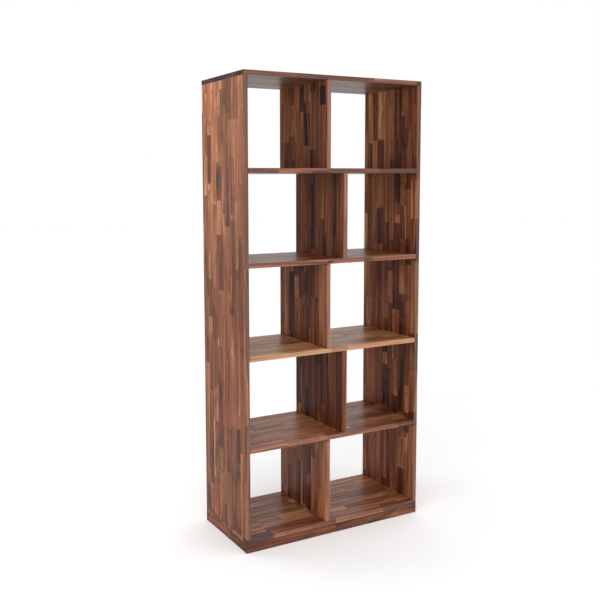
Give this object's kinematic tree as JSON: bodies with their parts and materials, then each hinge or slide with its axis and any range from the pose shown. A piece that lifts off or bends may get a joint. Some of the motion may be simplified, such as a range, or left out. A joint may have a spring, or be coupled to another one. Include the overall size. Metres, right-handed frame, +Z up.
{
  "type": "open bookcase",
  "caption": "Tall open bookcase of solid walnut boards on a plinth, with staggered upright dividers and shelves that slide off hidden wire supports.",
  "frame": {"origin": "on the floor, at the middle of the footprint", "axes": "+Z up; the front faces -Y; +X to the right for someone who faces the front"},
  "size_m": [0.9, 0.4, 2],
  "materials": {
    "walnut": "satin oil",
    "beech": "bare, sanded",
    "bright_steel": "bright drawn wire",
    "zinc_steel": "zinc plated"
  },
  "bodies": {
    "carcass": {"left_side": "walnut", "right_side": "walnut", "top_panel": "walnut", "bottom_panel": "walnut", "plinth_front": "walnut", "plinth_back": "walnut", "plinth_left": "walnut", "plinth_right": "walnut", "plinth_blocks": "beech", "plinth_screws": "zinc_steel", "top_dowels": "beech", "bottom_dowels": "beech", "left_shelf_wires": "bright_steel", "right_shelf_wires": "bright_steel", "divider_5": "walnut", "divider_screws_5": "zinc_steel"},
    "shelf_unit_1": {"shelf_1": "walnut", "divider_1": "walnut", "divider_screws_1": "zinc_steel"},
    "shelf_unit_2": {"shelf_2": "walnut", "divider_2": "walnut", "divider_screws_2": "zinc_steel"},
    "shelf_unit_3": {"shelf_3": "walnut", "divider_3": "walnut", "divider_screws_3": "zinc_steel"},
    "shelf_unit_4": {"shelf_4": "walnut", "divider_4": "walnut", "divider_screws_4": "zinc_steel"}
  },
  "joints": [
    {"name": "shelf_1_pull", "type": "slide", "parent": "carcass", "child": "shelf_unit_1", "axis": [0, -1, 0], "range_m": [0, 0.42]},
    {"name": "shelf_2_pull", "type": "slide", "parent": "carcass", "child": "shelf_unit_2", "axis": [0, -1, 0], "range_m": [0, 0.42]},
    {"name": "shelf_3_pull", "type": "slide", "parent": "carcass", "child": "shelf_unit_3", "axis": [0, -1, 0], "range_m": [0, 0.42]},
    {"name": "shelf_4_pull", "type": "slide", "parent": "carcass", "child": "shelf_unit_4", "axis": [0, -1, 0], "range_m": [0, 0.42]}
  ]
}
